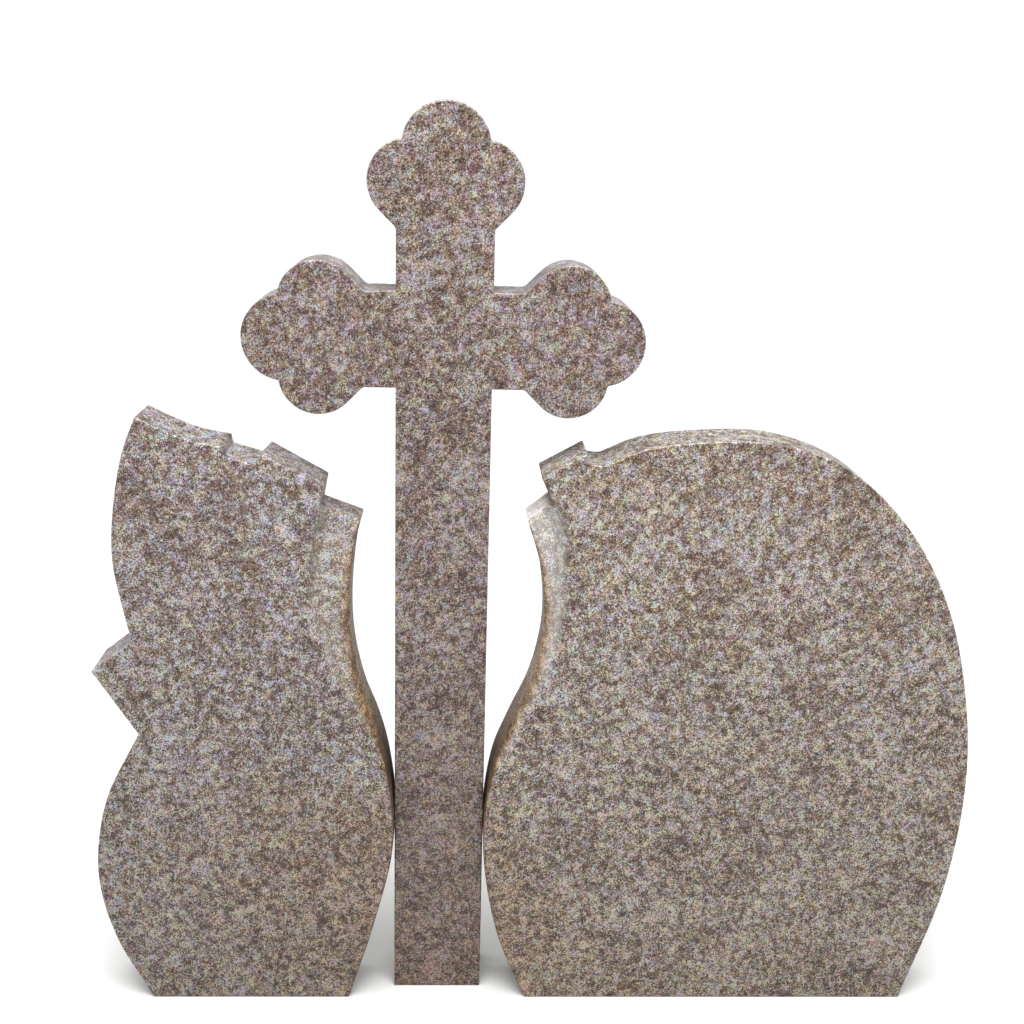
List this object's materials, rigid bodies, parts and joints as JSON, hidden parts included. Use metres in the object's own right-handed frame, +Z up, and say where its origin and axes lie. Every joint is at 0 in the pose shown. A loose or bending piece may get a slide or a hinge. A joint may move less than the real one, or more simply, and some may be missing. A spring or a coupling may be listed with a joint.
{
  "type": "grave monument",
  "caption": "Granite grave monument: a budded cross stands between a leaf-shaped and a wide rounded stele, each with a stepped top corner and a scooped inner margin.",
  "frame": {"origin": "on the ground, at the middle of the monument's width and depth", "axes": "+Z up; -Y is the way the fronts face, so +X runs to the right as one reads the stones"},
  "size_m": [1.1672, 0.1064, 1.2],
  "materials": {
    "stele_granite": "polished granite, brown-grey with pink and black grains, honed in the scooped margins",
    "cross_granite": "polished granite, a little redder and darker than the steles"
  },
  "bodies": {
    "root": {"left_stele": "stele_granite", "cross": "cross_granite", "right_stele": "stele_granite"}
  },
  "joints": []
}
